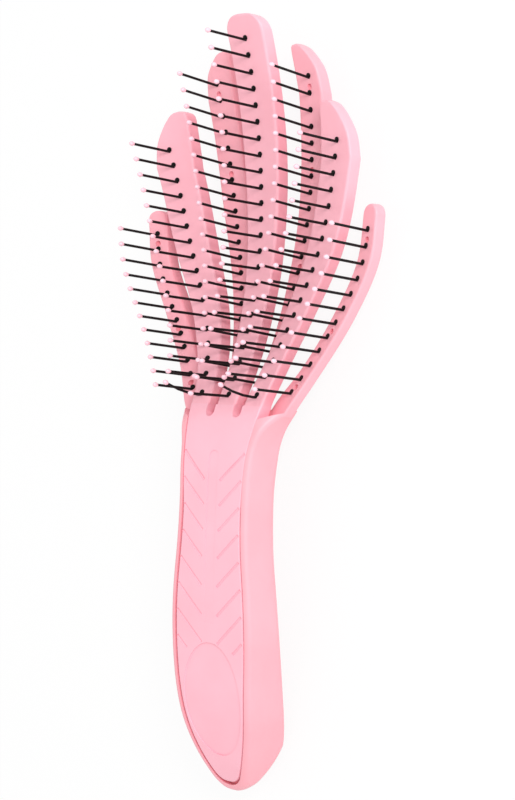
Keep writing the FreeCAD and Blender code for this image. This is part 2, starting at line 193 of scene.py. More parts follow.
def plastic(name, shade, light, rough, grain, cloud=90.0):
    """Moulded plastic between two close colours, with a wandering gloss and a fine grain."""
    material = bpy.data.materials.new(name)
    material.use_nodes = True
    nodes, links = material.node_tree.nodes, material.node_tree.links
    shader = nodes["Principled BSDF"]
    place = nodes.new("ShaderNodeTexCoord").outputs["Object"]

    clouds = nodes.new("ShaderNodeTexNoise")
    clouds.inputs["Scale"].default_value = cloud
    clouds.inputs["Detail"].default_value = CLOUD_DETAIL
    links.new(place, clouds.inputs["Vector"])
    ramp = nodes.new("ShaderNodeValToRGB")
    low, high = ramp.color_ramp.elements
    low.position, high.position = CLOUD_LOW, CLOUD_HIGH
    low.color, high.color = shade, light
    links.new(clouds.outputs["Fac"], ramp.inputs["Fac"])
    links.new(ramp.outputs["Color"], shader.inputs["Base Color"])

    gloss = nodes.new("ShaderNodeMapRange")
    gloss.inputs["To Min"].default_value = rough - GLOSS_WANDER
    gloss.inputs["To Max"].default_value = rough + GLOSS_WANDER
    links.new(clouds.outputs["Fac"], gloss.inputs["Value"])
    links.new(gloss.outputs["Result"], shader.inputs["Roughness"])

    skin = nodes.new("ShaderNodeTexNoise")
    skin.inputs["Scale"].default_value = GRAIN_SCALE
    skin.inputs["Detail"].default_value = GRAIN_DETAIL
    links.new(place, skin.inputs["Vector"])
    bump = nodes.new("ShaderNodeBump")
    bump.inputs["Strength"].default_value = grain
    bump.inputs["Distance"].default_value = GRAIN_HEIGHT * MM
    links.new(skin.outputs["Fac"], bump.inputs["Height"])
    links.new(bump.outputs["Normal"], shader.inputs["Normal"])
    return material


print("grain of", GRAIN_HEIGHT, "mm under a gloss that wanders by", GLOSS_WANDER)

# %% Finishes of the brush
PIN_CLOUD, PIN_SPECULAR, TIP_CLOUD = 400.0, 0.2, 300.0
SHELL_PINK = plastic("shell_pink_plastic", tint(249, 168, 179), tint(251, 173, 184), 0.42, 0.25)
PANEL_PINK = plastic("panel_pink_plastic", tint(250, 181, 195), tint(252, 186, 200), 0.46, 0.3)
FRONT_PINK = plastic("front_finger_pink_plastic", tint(250, 177, 190), tint(252, 182, 195), 0.42, 0.25)
# Rear finger pink: the front fingers' plastic, darkened as painted shade for the front layer's shadow.
REAR_PINK_PAINTED_SHADE = plastic("rear_finger_pink_plastic", tint(249, 171, 183), tint(251, 176, 188), 0.42, 0.25)
PIN_BLACK = plastic("black_pin_nylon", tint(5, 5, 5), tint(9, 8, 8), 0.55, 0.2, PIN_CLOUD)
PIN_BLACK.node_tree.nodes["Principled BSDF"].inputs["Specular IOR Level"].default_value = PIN_SPECULAR
TIP_PINK = plastic("pale_pink_tip", tint(253, 200, 213), tint(254, 208, 220), 0.25, 0.1, TIP_CLOUD)
print("finishes:", ", ".join(m.name for m in bpy.data.materials))

# %% [markdown]
# ## Lofting a moulded strip
# Fingers, panel and shell are all strips with a rounded section. A section face with its corners
# bevelled is extruded from rung to rung, and each new ring is moved into place. The section's corners
# remember how far they are from the sides and from the front or back, so the rounding keeps its real
# size however wide the strip is. Subdividing a cage would be quicker, but edges would drift.

# %% Rounded section
SECTION = 20.0
ROUND_STEPS = 4
LEVEL, NEAR = 1e-6, 1e-4  # what still counts as level with the front, and as clear of a corner


def section_face(bm, front_r, back_r, front_cuts):
    """Start face with rounded corners. Each corner point keeps its side and its offsets, and a point on
    the cut front keeps its share of the way across."""
    half = 0.5 * SECTION
    outline = ((-half, 0.0), (half, 0.0), (half, -SECTION), (-half, -SECTION))
    corners = [bm.verts.new((x, 0.0, z)) for x, z in outline]
    bm.faces.new(corners)
    for pair, radius in ((corners[:2], front_r), (corners[2:], back_r)):
        bmesh.ops.bevel(bm, geom=pair, offset=radius, segments=ROUND_STEPS, profile=0.5,
                        affect="VERTICES", material=-1)
    if front_cuts:
        level = [e for e in bm.edges if e.verts[0].co.z + e.verts[1].co.z > -LEVEL]
        front = max(level, key=lambda e: e.calc_length())
        bmesh.ops.subdivide_edges(bm, edges=[front], cuts=front_cuts)
    side = bm.verts.layers.float_vector.new("side")
    for vert in bm.verts:
        x, z = vert.co.x, vert.co.z
        if z > -LEVEL and abs(x) < half - front_r - NEAR:
            vert[side] = (0.0, 0.5 + 0.5 * x / (half - front_r), 0.0)
        elif z > -half:
            vert[side] = (math.copysign(1.0, x), half - abs(x), -z)
        else:
            vert[side] = (math.copysign(1.0, x), half - abs(x), -(SECTION + z) - LEVEL)
    bm.faces.ensure_lookup_table()
    return bm.faces[0], side


print("rounded section of", 4 * (ROUND_STEPS + 1), "points")

# %% Loft
MOST_ACROSS, MOST_DEEP = 0.48, 0.98


def end_inset(distance, radius):
    """How far a rounded end draws in at this distance from the end."""
    if radius == 0.0 or distance >= radius:
        return 0.0
    return radius - math.sqrt(radius**2 - (radius - distance) ** 2)


def middle_of(rung):
    """Plan point halfway along a rung."""
    return 0.5 * (Vector(rung[0]) + Vector(rung[1]))


def set_ring(verts, side, rung, front, back, inset, back_share):
    """Move one ring of section points onto its rung."""
    left, right = Vector(rung[0]), Vector(rung[1])
    width = (right - left).length
    room = front(*middle_of(rung)) - back(*middle_of(rung)) - 2.0 * inset
    corners = [v[side] for v in verts if v[side][0]]
    front_r = max(c[2] for c in corners)
    back_r = back_share * -min(c[2] for c in corners)
    fit = min(1.0, MOST_ACROSS * width / max(front_r, back_r), MOST_DEEP * room / (front_r + back_r))
    for vert in verts:
        edge, across, down = vert[side]
        if edge == 0.0:
            margin = fit * front_r / width
            share = margin + (1.0 - 2.0 * margin) * across
        else:
            scale = fit if down >= 0.0 else fit * back_share
            across, down = scale * across, scale * down
            share = across / width if edge < 0 else 1.0 - across / width
        x, y = left.lerp(right, share)
        z = front(x, y) - inset - down if down >= 0.0 else back(x, y) + inset - down
        vert.co = spot(x, y, z)


def loft(rungs, front, back, front_r, back_r,
         start_r=0.0, end_r=0.0, front_cuts=0, back_share=lambda y: 1.0):
    """Closed strip through rungs of left and right plan points, between two heights."""
    bm = bmesh.new()
    face, side = section_face(bm, front_r, back_r, front_cuts)
    first, last = middle_of(rungs[0]), middle_of(rungs[-1])
    for number, rung in enumerate(rungs):
        if number:
            inner = face
            made = bmesh.ops.extrude_face_region(bm, geom=[inner])["geom"]
            face = next(g for g in made if isinstance(g, bmesh.types.BMFace))
            if number > 1:
                bm.faces.remove(inner)
        middle = middle_of(rung)
        inset = max(end_inset((middle - first).length, start_r),
                    end_inset((last - middle).length, end_r))
        set_ring(face.verts, side, rung, front, back, inset, back_share(middle.y))
    bmesh.ops.recalc_face_normals(bm, faces=bm.faces[:])
    return bm


print("a rounding takes up to", MOST_ACROSS, "of a strip's width and", MOST_DEEP, "of its depth")

# %% Finished pieces and cuts
SHARP_DEG = 40.0


def piece(name, bm, material):
    """Finished mesh object with smooth faces, crisp where it is really sharp."""
    mesh = bpy.data.meshes.new(name)
    bm.to_mesh(mesh)
    bm.free()
    mesh.materials.append(material)
    mesh.shade_smooth()
    mesh.set_sharp_from_angle(angle=math.radians(SHARP_DEG))
    obj = bpy.data.objects.new(name, mesh)
    bpy.context.scene.collection.objects.link(obj)
    return obj


def even_shading(obj):
    """Let the large faces set the shading, so that flats stay flat beside their rounded edges."""
    obj.modifiers.new("even_faces", "WEIGHTED_NORMAL").keep_sharp = True
    return obj


def cut_away(obj, cutter):
    """Take the cutter's shape out of the piece for good."""
    tool = bpy.data.objects.new("cutter", bpy.data.meshes.new("cutter"))
    bmesh.ops.recalc_face_normals(cutter, faces=cutter.faces[:])
    cutter.to_mesh(tool.data)
    cutter.free()
    bpy.context.scene.collection.objects.link(tool)
    cut = obj.modifiers.new("cut", "BOOLEAN")
    cut.operation, cut.solver, cut.object = "DIFFERENCE", "EXACT", tool
    bpy.context.view_layer.update()
    result = obj.evaluated_get(bpy.context.evaluated_depsgraph_get())
    solid = bpy.data.meshes.new_from_object(result)
    obj.modifiers.remove(cut)
    old, obj.data = obj.data, solid
    bpy.data.meshes.remove(old)
    bpy.data.objects.remove(tool)
    solid.set_sharp_from_angle(angle=math.radians(SHARP_DEG))
    return obj


print("edges of more than", SHARP_DEG, "degrees stay crisp")

# %% [markdown]
# ## Pins, read from the frame
# Each finger carries one row of nylon pins. The CAD model holds them as separate four-sided solids, so
# their places are read from those solids instead of being worked out twice.

# %% Where the pins stand
SOCKET_DEPTH, MERGE_GAP = 1.8, 0.02


def pin_feet(body):
    """Foot of every pin on a finger, on the finger's face, from the tip towards the handle."""
    bm = bmesh.new()
    bm.from_mesh(frame["nodes"]["pins_" + body].data)
    bmesh.ops.remove_doubles(bm, verts=bm.verts[:], dist=MERGE_GAP * MM)
    reached, feet = set(), []
    for start in bm.verts:
        pin, waiting = [], [start]
        while waiting:
            vert = waiting.pop()
            if vert not in reached:
                reached.add(vert)
                pin.append(vert)
                waiting += [e.other_vert(vert) for e in vert.link_edges]
        if pin:
            middle = sum((v.co for v in pin), Vector()) / len(pin)
            feet.append(Vector((middle.x, middle.y, min(v.co.z for v in pin) + SOCKET_DEPTH * MM)))
    bm.free()
    return sorted(feet, key=lambda foot: -foot.y)


FINGER_BODIES = [body for body in frame["bodies"] if body != "handle"]
PIN_FEET = {body: pin_feet(body) for body in FINGER_BODIES}
print("pins:", {body: len(feet) for body, feet in PIN_FEET.items()})

# %% [markdown]
# ## Fingers
# Seven curved fingers in two layers. A curve with a bevel would give round sticks, so the flat fingers are
# lofted. Their plans are smooth curves through a few stations (y, middle, half width). The middle finger
# ends in a blunt arch and the outer rear ones in a narrow round end. The others sweep from their outer
# edge round to a point on the inner side. The pins of each finger lean a little towards its tip: `lean`
# is how far their feet and their ends are moved along the brush. Each finger is one piece.

# %% Finger plans
JOIN_Y = -1.6
FINGER_PLANS = {
    "front_centre": dict(
        plan=((-9.0, 0.0, 3.5), (18.0, 0.0, 4.4), (45.0, 0.0, 5.7), (72.0, 0.0, 6.9), (107.6, 0.0, 7.2)),
        round_tip=(0.0, TIP_Y), fullness=2.4,
        layer=0, dish_x=0.0, root_y=JOIN_Y, back_r=0.7, lean=(-0.4, 0.1), pegs=()),
    "front_outer": dict(
        plan=((-9.0, 9.9, 3.6), (5.0, 11.6, 3.7), (24.0, 17.4, 4.9), (45.0, 25.9, 6.3), (70.0, 32.4, 6.9)),
        left_tip=((26.3, 80.0), (26.6, 84.6), (27.3, 86.3), (28.4, 86.8)),
        right_tip=((38.6, 76.5), (36.1, 81.6), (33.0, 85.4), (30.6, 86.8)),
        layer=0, dish_x=24.0, root_y=JOIN_Y, back_r=0.7, lean=(-0.6, 0.2), pegs=()),
    "rear_inner": dict(
        plan=((-9.0, 4.7, 1.35), (4.0, 5.8, 1.7), (33.0, 10.5, 3.8), (58.0, 15.0, 4.9), (90.0, 18.0, 5.1)),
        left_tip=((12.5, 98.0), (12.4, 102.6), (12.8, 104.0), (13.7, 104.5)),
        right_tip=((22.2, 96.6), (20.2, 100.2), (17.6, 103.1), (15.4, 104.4)),
        layer=1, dish_x=14.0, root_y=-8.0, back_r=0.7, lean=(-0.8, 0.8), pegs=(1, 6, 12)),
    "rear_outer": dict(
        plan=((-12.0, 11.0, 3.0), (-2.6, 16.6, 4.2), (1.5, 18.85, 4.2), (8.0, 22.9, 3.6), (25.0, 33.0, 3.6),
              (41.0, 41.0, 3.4), (54.0, 42.8, 3.3)),
        round_tip=(43.0, 57.4), fullness=2.0,
        layer=1, dish_x=34.0, root_y=-4.5, back_r=1.5, lean=(-0.9, 0.1), pegs=(1, 7, 11)),
}


def plan_of(body):
    """The plan that a finger shares with its twin on the other side."""
    return FINGER_PLANS[body.replace("_right", "").replace("_left", "")]


def hand_of(body):
    """Side of the brush: a left finger is its twin mirrored."""
    return -1.0 if body.endswith("_left") else 1.0


print("plans:", ", ".join(FINGER_PLANS))

# %% Finger outlines
BODY_RUNGS, TIP_RUNGS = 36, 16
TIP_ARCH = math.radians(80.0)


def station_at(plan, y):
    """Middle and half width at y, on a smooth curve through the stations."""
    slots = [i for i in range(len(plan) - 1) if plan[i][0] <= y]
    i = slots[-1] if slots else 0
    low, high = plan[i], plan[i + 1]
    run = high[0] - low[0]
    t = max(0.0, (y - low[0]) / run)
    values = []
    for k in (1, 2):
        here = (high[k] - low[k]) / run
        before = (low[k] - plan[i - 1][k]) / (low[0] - plan[i - 1][0]) if i else here
        after = (plan[i + 2][k] - high[k]) / (plan[i + 2][0] - high[0]) if i + 2 < len(plan) else here
        m0, m1 = 0.5 * (before + here) * run, 0.5 * (after + here) * run
        values.append((2 * t**3 - 3 * t**2 + 1) * low[k] + (t**3 - 2 * t**2 + t) * m0
                      + (3 * t**2 - 2 * t**3) * high[k] + (t**3 - t**2) * m1)
    return values


def point_along(points, share):
    """Point at a share of the way along a smooth line through the points."""
    lengths = [(b - a).length for a, b in zip(points, points[1:])]
    run, i = share * sum(lengths), 0
    while i < len(lengths) - 1 and run > lengths[i]:
        run -= lengths[i]
        i += 1
    t = min(1.0, run / lengths[i])
    a, b = points[i], points[i + 1]
    before = points[i - 1] if i else 2.0 * a - b
    after = points[i + 2] if i + 2 < len(points) else 2.0 * b - a
    return (a + 0.5 * t * (b - before) + t * t * (before - 2.5 * a + 2.0 * b - 0.5 * after)
            + t**3 * (1.5 * (a - b) + 0.5 * (after - before)))


def tip_rung(finger, left, right, share):
    """Left and right edge points of the tip, from its start to its end."""
    if "left_tip" in finger:
        sides = ((left, finger["left_tip"]), (right, finger["right_tip"]))
        return [point_along([start] + [Vector(p) for p in tip], share) for start, tip in sides]
    turn, power = share * TIP_ARCH, 2.0 / finger["fullness"]
    top = Vector(finger["round_tip"])
    middle = (0.5 * (left + right)).lerp(top, math.sin(turn) ** power)
    half = 0.5 * (right - left) * math.cos(turn) ** power
    return middle - half, middle + half


def finger_rungs(finger):
    """Rungs from the root to the tip."""
    first, last = finger["root_y"], finger["plan"][-1][0]
    rungs = []
    for step in range(BODY_RUNGS + 1):
        y = first + (last - first) * step / BODY_RUNGS
        middle, half = station_at(finger["plan"], y)
        rungs.append((Vector((middle - half, y)), Vector((middle + half, y))))
    left, right = rungs[-1]
    for step in range(1, TIP_RUNGS + 1):
        rungs.append(tip_rung(finger, left, right, step / TIP_RUNGS))
    return rungs


print("rungs in a finger:", len(finger_rungs(FINGER_PLANS["front_centre"])))

# %% Finger pieces
FRONT_EDGE_R, TIP_END_R = 0.9, 1.0
PEG_HOLE_R, PEG_HOLE_DEPTH, PEG_HOLE_SIDES = 0.9, 1.2, 16
TWIST_RUN = 18.0


def round_bar(bm, radius, length, sides, place):
    """Round bar along the z direction of its place: a cone with equal ends."""
    made = bmesh.ops.create_cone(bm, cap_ends=True, segments=sides, radius1=radius * MM, radius2=radius * MM,
                                 depth=length * MM, matrix=place)
    return made["verts"]


def finger_height(finger, depth):
    """Height of a finger's face or back: level with the panel at a front finger's root."""
    def height(x, y):
        turned = layer_z(finger["layer"], finger["dish_x"], x, y, depth)
        if finger["layer"]:
            return turned
        return turned + (1.0 - ease(y, JOIN_Y, JOIN_Y + TWIST_RUN)) * (face_z(y) - depth - turned)
    return height


def make_finger(body):
    """One finger with its blind peg holes."""
    finger = plan_of(body)
    bm = loft(
        finger_rungs(finger),
        finger_height(finger, 0.0),
        finger_height(finger, FINGER_T),
        FRONT_EDGE_R, finger["back_r"], end_r=TIP_END_R,
    )
    bmesh.ops.scale(bm, vec=(hand_of(body), 1.0, 1.0), verts=bm.verts[:])
    bmesh.ops.recalc_face_normals(bm, faces=bm.faces[:])
    # Rear fingers take the darker pink, which is painted shade for the shadow of the front layer.
    obj = piece(body + "_finger", bm, FRONT_PINK if finger["layer"] == 0 else REAR_PINK_PAINTED_SHADE)
    if finger["pegs"]:
        pegs, feet = bmesh.new(), PIN_FEET[body]
        moved = Vector((0.0, finger["lean"][0] * MM, 0.0))
        for pin in finger["pegs"]:
            place = Matrix.Translation(0.5 * (feet[pin - 1] + feet[pin]) + moved)
            round_bar(pegs, PEG_HOLE_R, 2.0 * PEG_HOLE_DEPTH, PEG_HOLE_SIDES, place)
        cut_away(obj, pegs)
    even_shading(obj)
    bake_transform(obj)
    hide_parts("finger_" + body)
    return obj


for body in FINGER_BODIES:
    finger = make_finger(body)
    print(finger.name, len(finger.data.polygons), "faces")

# %% [markdown]
# ## Pins and their soft tips
# A pin is a thin nylon rod with a flat foot round its root, a little on the tip side, and a drop-shaped
# soft end. An array would copy one pin along a line, but these rows are curved and their feet follow the
# dish, so each pin is made at its own place. There are more than a hundred, so each is only a few dozen
# faces: two round bars and one low sphere.

# %% Pin shapes
PIN_LENGTH, PIN_R, PIN_SIDES = 14.9, 0.4, 8
FOOT_R, FOOT_T, FOOT_SHIFT, FOOT_SIDES = 0.8, 0.5, 0.7, 10
BENT_FINGERS, BENT_LEAN = ("front_outer_right", "front_outer_left"), (-1.7, 1.2)
BENT_POWER, BENT_CUTS = 2, 3
ROD_REACH = 1.1 * PIN_R
TILT_PROBE = 0.5


def add_rod(bm, place, radius, low, high, sides):
    """Upright rod between two heights over a place that may also be tilted."""
    middle = Matrix.Translation((0.0, 0.0, 0.5 * (low + high) * MM))
    return round_bar(bm, radius, high - low, sides, place @ middle)


def lean_over(verts, foot, lean, power):
    """Move a pin's points along the brush, from the lean's first value at the foot to its second."""
    for vert in verts:
        t = max(0.0, (vert.co.z - foot.z) / (PIN_LENGTH * MM))
        vert.co.y += (lean[0] + (lean[1] - lean[0]) * t**power) * MM


def face_tilt(body, foot):
    """Turn that lays a flat foot on the finger's face at a pin."""
    finger, hand = plan_of(body), hand_of(body)
    x, y = foot.x / MM * hand, foot.y / MM - NECK_TO_FRAME.y

    def height(dx, dy):
        return layer_z(finger["layer"], finger["dish_x"], x + dx, y + dy)

    slope_x = (height(TILT_PROBE, 0.0) - height(-TILT_PROBE, 0.0)) / (2.0 * TILT_PROBE)
    slope_y = (height(0.0, TILT_PROBE) - height(0.0, -TILT_PROBE)) / (2.0 * TILT_PROBE)
    normal = Vector((-hand * slope_x, -slope_y, 1.0))
    return Vector((0.0, 0.0, 1.0)).rotation_difference(normal).to_matrix().to_4x4()


def add_pin(bm, body, foot, lean, power):
    """One pin in its socket, with its flat foot. A power above 1 bends it."""
    place = Matrix.Translation(foot)
    rod = set(add_rod(bm, place, PIN_R, -SOCKET_DEPTH, PIN_LENGTH, PIN_SIDES))
    if power > 1:
        long_edges = [e for e in bm.edges if e.verts[0] in rod and e.calc_length() > PIN_LENGTH * MM]
        bmesh.ops.subdivide_edges(bm, edges=long_edges, cuts=BENT_CUTS)
    rod = [v for v in bm.verts if (v.co.xy - foot.xy).length < ROD_REACH * MM]
    lean_over(rod, foot, lean, power)
    flat = place @ face_tilt(body, foot) @ Matrix.Translation((0.0, (lean[0] + FOOT_SHIFT) * MM, 0.0))
    add_rod(bm, flat, FOOT_R, -FOOT_T, 0.5 * FOOT_T, FOOT_SIDES)


print("a straight pin has", PIN_SIDES + FOOT_SIDES + 4, "faces")

# %% Tip shapes
TIP_R, TIP_LENGTH, TIP_TAPER, TIP_WAIST = 0.76, 2.1, 0.85, 0.45
TIP_SIDES, TIP_RINGS = 10, 6


def add_tip(bm, foot, lean, power):
    """Drop on the end of a pin, turned the way the pin points there."""
    middle = foot + Vector((0.0, 0.0, (PIN_LENGTH + 0.5 * TIP_LENGTH) * MM))
    size = Matrix.Diagonal((TIP_R * MM, TIP_R * MM, 0.5 * TIP_LENGTH * MM, 1.0))
    drop = bmesh.ops.create_uvsphere(bm, u_segments=TIP_SIDES, v_segments=TIP_RINGS, radius=1.0,
                                     matrix=Matrix.Translation(middle) @ size)["verts"]
    waist = foot.z + (PIN_LENGTH + TIP_WAIST * TIP_LENGTH) * MM
    low = [v for v in drop if v.co.z < waist]
    bmesh.ops.scale(bm, vec=(TIP_TAPER, TIP_TAPER, 1.0), verts=low, space=Matrix.Translation(-foot))
    turn = -math.atan(power * (lean[1] - lean[0]) / PIN_LENGTH)
    bmesh.ops.rotate(bm, verts=drop, cent=foot + Vector((0.0, 0.0, PIN_LENGTH * MM)),
                     matrix=Matrix.Rotation(turn, 3, "X"))
    bmesh.ops.translate(bm, verts=drop, vec=(0.0, lean[1] * MM, 0.0))


print("a tip has", TIP_SIDES * TIP_RINGS, "faces")

# %% Pin and tip pieces
def make_pins(body):
    """One row of pins and their tips. The last pin of an outer front finger is bent on the real brush."""
    pins, tips = bmesh.new(), bmesh.new()
    for foot in PIN_FEET[body]:
        bent = body in BENT_FINGERS and foot == PIN_FEET[body][-1]
        lean, power = (BENT_LEAN, BENT_POWER) if bent else (plan_of(body)["lean"], 1)
        add_pin(pins, body, foot, lean, power)
        add_tip(tips, foot, lean, power)
    pin_row = piece(body + "_pin_row", pins, PIN_BLACK)
    tip_row = piece(body + "_tip_row", tips, TIP_PINK)
    for obj, node, finish in ((pin_row, "pins_", "pin_black"), (tip_row, "tips_", "tip_pink")):
        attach(obj, body)
        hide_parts(node + body)
    return pin_row


for body in FINGER_BODIES:
    row = make_pins(body)
    print(row.name, len(row.data.polygons), "faces")

# %% [markdown]
# ## Grip panel
# The panel is a lighter plate let into the handle. Its front end splits into the roots of the three
# front fingers, with round-bottomed slots between them. The plate is lofted between the handle's sides.
# The slots, the chevron grooves, the shallow oval and the channel between the chevrons are cut
# afterwards, as a mould maker would add them. A bump in the material would be quicker, but it would show
# no edge from the side.

# %% Handle plan
HANDLE_RADII = (8.2, 54.4, 171.0, -171.0, -18.5, 41.0)
HANDLE_TURNS_DEG = (58.5, 24.0, 13.9, -11.6, -34.0, 5.0)
ARC_STEPS = (10, 12, 14, 14, 8, 3)
PALM_ARCS, GRIP_ARCS, ALL_ARCS = 3, 4, 6


def handle_side(inset, arcs):
    """Points up the handle's right side, drawn in by the inset: tangent arcs from the butt."""
    x, y, heading = 0.0, BUTT_Y + inset, 0.0
    points = []
    for radius, turn, steps in list(zip(HANDLE_RADII, HANDLE_TURNS_DEG, ARC_STEPS))[:arcs]:
        inner, start = radius - inset, heading
        for step in range(1, steps + 1):
            heading = start + math.radians(turn) * step / steps
            points.append((x + inner * (math.sin(heading) - math.sin(start)),
                           y - inner * (math.cos(heading) - math.cos(start))))
        x, y = points[-1]
    return points


def both_sides(points):
    """Rungs between points on the right and their mirror points."""
    return [(Vector((-x, y)), Vector((x, y))) for x, y in points]


palm_half = max(x for x, y in handle_side(0.0, PALM_ARCS))
print("handle is", round(2.0 * palm_half, 1), "mm wide at the palm")

# %% Panel piece
RIM_W, PANEL_GAP, PANEL_T = 1.9, 0.55, 2.2
PANEL_EDGE_R, PANEL_BACK_R, PANEL_BUTT_R = 0.5, 0.3, 0.6
BUTT_GAP, BUTT_RUN = 0.5, 9.0
CLOSED_GAP, OPEN_Y, CLOSED_Y = 0.12, -34.0, -24.0
ROOT_Y, ROOT_STEPS = -13.5, 8


def panel_rungs(gap):
    """The panel's sides follow the handle, then run on to the outer edges of the front fingers."""
    points = handle_side(RIM_W + PANEL_GAP - gap, GRIP_ARCS)
    start = Vector(points[-1])
    middle, half = station_at(FINGER_PLANS["front_outer"]["plan"], JOIN_Y)
    end = Vector((middle + half - PANEL_GAP + CLOSED_GAP + gap, JOIN_Y))
    points += [start.lerp(end, step / ROOT_STEPS) for step in range(1, ROOT_STEPS + 1)]
    return both_sides(points)


def panel_back(extra):
    """Underside of the panel, thicker at the fingers' roots."""
    def height(x, y):
        return face_z(y) - (FINGER_T if y > ROOT_Y else PANEL_T) - extra
    return height


panel_sides = panel_rungs(0.0)
for left, right in panel_sides:
    left.y = right.y = left.y + BUTT_GAP * (1.0 - ease(left.y, BUTT_Y, BUTT_Y + BUTT_RUN))
    right.x += (PANEL_GAP - CLOSED_GAP) * ease(right.y, OPEN_Y, CLOSED_Y)
    left.x = -right.x
panel = piece(
    "grip_panel",
    loft(panel_sides, lambda x, y: face_z(y), panel_back(0.0), PANEL_EDGE_R, PANEL_BACK_R,
         start_r=PANEL_BUTT_R),
    PANEL_PINK)
print("panel is", round(2.0 * panel_sides[-1][1].x, 1), "mm wide at the neck")

# %% Slots
SLOT_Y, SLOT_STEPS, SLOT_OVERRUN = -5.2, 8, 2.0
CUT_CLEAR, CUT_EDGE_R = 8.0, 0.1


def slot_rungs():
    """Round-bottomed slot between the roots of two front fingers."""
    low = station_at(FINGER_PLANS["front_centre"]["plan"], JOIN_Y)[1]
    middle, half = station_at(FINGER_PLANS["front_outer"]["plan"], JOIN_Y)
    centre, radius = 0.5 * (low + middle - half), 0.5 * (middle - half - low)
    turns = [0.5 * math.pi * step / SLOT_STEPS for step in range(1, SLOT_STEPS + 1)]
    ends = [(radius * math.sin(t), SLOT_Y + radius * (1.0 - math.cos(t))) for t in turns]
    ends.append((radius, JOIN_Y + SLOT_OVERRUN))
    return [(Vector((centre - x, y)), Vector((centre + x, y))) for x, y in ends]


def mirrored(rungs):
    """The same rungs on the other side of the brush."""
    return [[Vector((-p.x, p.y)) for p in rung] for rung in rungs]


def above_face(clear):
    """Level end of a cutter: this far above the front face, or below it where that is negative."""
    return lambda x, y: face_z(y) + clear


for rungs in (slot_rungs(), mirrored(slot_rungs())):
    through = loft(rungs, above_face(CUT_CLEAR), above_face(-CUT_CLEAR), CUT_EDGE_R, CUT_EDGE_R)
    cut_away(panel, through)
print("panel has", len(panel.data.polygons), "faces after its slots")

# %% Chevron grooves
GROOVE_R, GROOVE_LIFT, GROOVE_SLOPE, GROOVE_SIDES = 0.46, 0.03, 0.92, 12
GROOVE_PITCH, GROOVE_FIRST_Y, GROOVES = 7.87, -15.5, 8
GROOVE_MARGIN, GROOVE_INNER_X, LAST_GROOVE_INNER_X = 0.5, 3.1, 9.3


def groove_bar(bm, hand, start_y, inner_x):
    """Round bar that presses one arm of a chevron into the face."""
    outer_x = min(panel_sides, key=lambda rung: abs(rung[1].y - start_y))[1].x - GROOVE_MARGIN
    ends = ((outer_x, start_y), (inner_x, start_y - (outer_x - inner_x) * GROOVE_SLOPE))
    a, b = (spot(hand * x, y, face_z(y) + GROOVE_LIFT) for x, y in ends)
    turn = Vector((0.0, 0.0, 1.0)).rotation_difference(b - a).to_matrix().to_4x4()
    place = Matrix.Translation(0.5 * (a + b)) @ turn
    round_bar(bm, GROOVE_R, (b - a).length / MM, GROOVE_SIDES, place)


grooves = bmesh.new()
for number in range(GROOVES):
    inner_x = GROOVE_INNER_X if number < GROOVES - 1 else LAST_GROOVE_INNER_X
    for hand in (-1.0, 1.0):
        groove_bar(grooves, hand, GROOVE_FIRST_Y - number * GROOVE_PITCH, inner_x)
cut_away(panel, grooves)
print("panel has", len(panel.data.polygons), "faces after its grooves")

# %% Oval
OVAL_Y, OVAL_HALF_W, OVAL_HALF_L, OVAL_DEPTH = -88.5, 11.4, 17.0, 0.4
OVAL_EDGE_R, OVAL_STEPS = 0.25, 32
RELIEF_CLEAR = 3.0

turns = [math.pi * step / OVAL_STEPS for step in range(1, OVAL_STEPS)]
oval = both_sides([(OVAL_HALF_W * math.sin(t), OVAL_Y - OVAL_HALF_L * math.cos(t)) for t in turns])
cut_away(panel, loft(oval, above_face(RELIEF_CLEAR), above_face(-OVAL_DEPTH), CUT_EDGE_R, OVAL_EDGE_R))
print("oval is", 2.0 * OVAL_HALF_W, "by", 2.0 * OVAL_HALF_L, "mm and", OVAL_DEPTH, "mm deep")

# %% Channel
CHANNEL_TOP_Y, CHANNEL_END_Y, CHANNEL_HALF_W = -14.9, -70.0, 1.9
CHANNEL_DEPTH, CHANNEL_END_DEPTH, CHANNEL_EDGE_R = 0.2, 0.03, 0.05
CHANNEL_STEPS, CHANNEL_START = 24, 0.1


def channel_floor(x, y):
    """Floor of the channel, deepest at its round upper end."""
    deeper = (CHANNEL_DEPTH - CHANNEL_END_DEPTH) * ease(y, CHANNEL_END_Y, CHANNEL_TOP_Y)
    return face_z(y) - CHANNEL_END_DEPTH - deeper


channel = []
for step in range(CHANNEL_STEPS):
    below = (CHANNEL_TOP_Y - CHANNEL_END_Y) * (step / CHANNEL_STEPS) ** 2 + CHANNEL_START
    channel.append((CHANNEL_HALF_W - end_inset(below, CHANNEL_HALF_W), CHANNEL_TOP_Y - below))
scoop = loft(both_sides(channel), above_face(RELIEF_CLEAR), channel_floor, CUT_EDGE_R, CHANNEL_EDGE_R)
cut_away(panel, scoop)
even_shading(panel)
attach(panel, "handle")
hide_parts("front_panel")
print("panel has", len(panel.data.polygons), "faces")

# %% [markdown]
# ## Rear shell
# The shell is the back half of the handle: a rounded trough whose rim stands round the panel. At the
# neck its shoulders slope outwards and end in a slanted ridge, and the outer rear fingers come out from
# under it. Walls round a floor would do too, but one loft, with a small radius at the rim and a large one
# at the back, keeps the rim and the flanks one smooth skin. The panel's shape, a little larger, and a
# wedge over each outer root are cut out of its front.

# %% Shell piece
RIM_EDGE_R, BACK_ROUND_R, BUTT_ROUND_R = 1.6, 4.2, 1.4
SHOULDER_X, SHOULDER_RUN, SHOULDER_DROP = 15.2, 5.4, 4.4
SHOULDER_Y, SHOULDER_END_Y, NECK_BACK_SHARE = -15.0, -3.5, 0.36
SHOULDER_CUTS = 24


def shell_front(x, y):
    """Height of the rim and of the sloping shoulders."""
    share = min(1.0, max(0.0, (abs(x) - SHOULDER_X) / SHOULDER_RUN))
    return face_z(y) - SHOULDER_DROP * share * ease(y, SHOULDER_Y, SHOULDER_END_Y)


